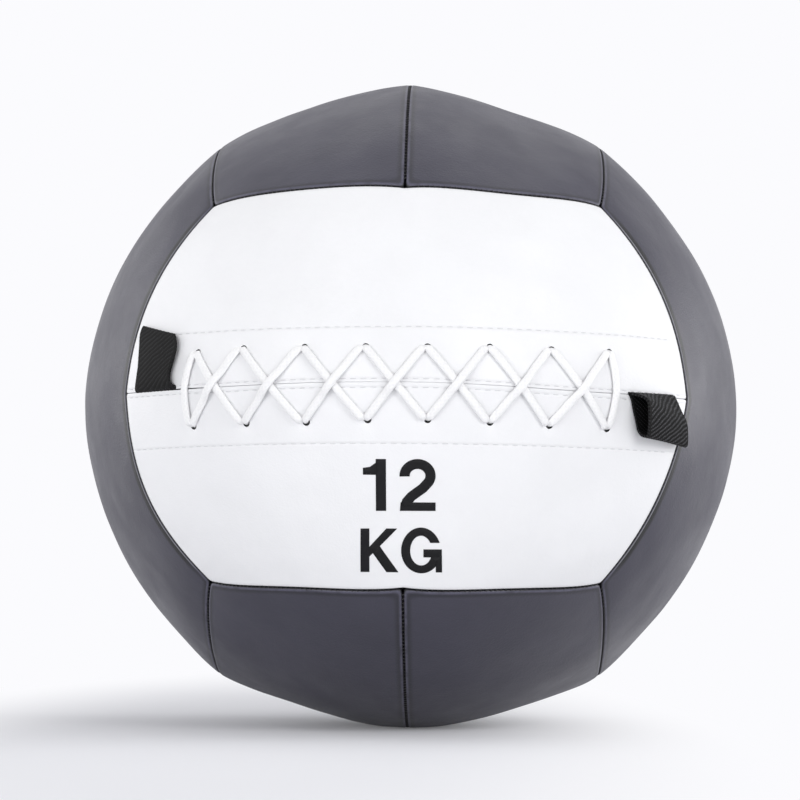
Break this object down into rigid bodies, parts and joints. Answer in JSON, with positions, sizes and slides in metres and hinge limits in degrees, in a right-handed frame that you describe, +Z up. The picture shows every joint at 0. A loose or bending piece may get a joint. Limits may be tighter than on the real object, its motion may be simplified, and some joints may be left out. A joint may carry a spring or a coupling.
{
  "type": "wall ball",
  "caption": "Soft round weighted ball of sewn coated-leather panels, with a laced opening on a white face and two short webbing loops at the ends of its slit.",
  "frame": {"origin": "middle of the underside of the whole ball", "axes": "+Z up, -Y out of the laced face, +X to the right of someone who looks at that face"},
  "size_m": [0.3532, 0.3576, 0.3455],
  "materials": {
    "white_leather": "smooth coated synthetic leather, satin",
    "grey_leather": "smooth coated synthetic leather, satin",
    "foam": "open-cell foam",
    "lining_cloth": "woven backing",
    "lace_cord": "braided cord",
    "webbing": "twill-woven nylon webbing",
    "bag_cloth": "nonwoven cloth",
    "fibre": "packed textile fibre",
    "canvas": "plain canvas",
    "steel_grit": "packed steel grit"
  },
  "bodies": {
    "ball": {"front_upper_panel": "white_leather", "front_lower_panel": "white_leather", "rear_upper_panel": "grey_leather", "rear_lower_panel": "grey_leather", "left_front_panel": "grey_leather", "left_rear_panel": "grey_leather", "right_front_panel": "grey_leather", "right_rear_panel": "grey_leather", "top_left_panel": "grey_leather", "top_right_panel": "grey_leather", "bottom_left_panel": "grey_leather", "bottom_right_panel": "grey_leather", "front_upper_pad": "foam", "front_lower_pad": "foam", "rear_upper_pad": "foam", "rear_lower_pad": "foam", "left_front_pad": "foam", "left_rear_pad": "foam", "right_front_pad": "foam", "right_rear_pad": "foam", "top_left_pad": "foam", "top_right_pad": "foam", "bottom_left_pad": "foam", "bottom_right_pad": "foam", "upper_lace_facing": "lining_cloth", "lower_lace_facing": "lining_cloth", "lacing_tongue": "lining_cloth", "lace": "lace_cord", "inner_bag": "bag_cloth", "fibre_filling": "fibre", "ballast_bag": "canvas", "ballast": "steel_grit"},
    "left_loop": {"left_webbing_loop": "webbing"},
    "right_loop": {"right_webbing_loop": "webbing"}
  },
  "joints": [
    {"name": "left_loop_fold", "type": "hinge", "parent": "ball", "child": "left_loop", "pos_m": [-0.12717, -0.11972, 0.17302], "axis": [0.6972, -0.7169, 0], "range_deg": [0, 150]},
    {"name": "right_loop_fold", "type": "hinge", "parent": "ball", "child": "right_loop", "pos_m": [0.12097, -0.12578, 0.17068], "axis": [-0.7314, -0.682, 0], "range_deg": [0, 130]}
  ]
}
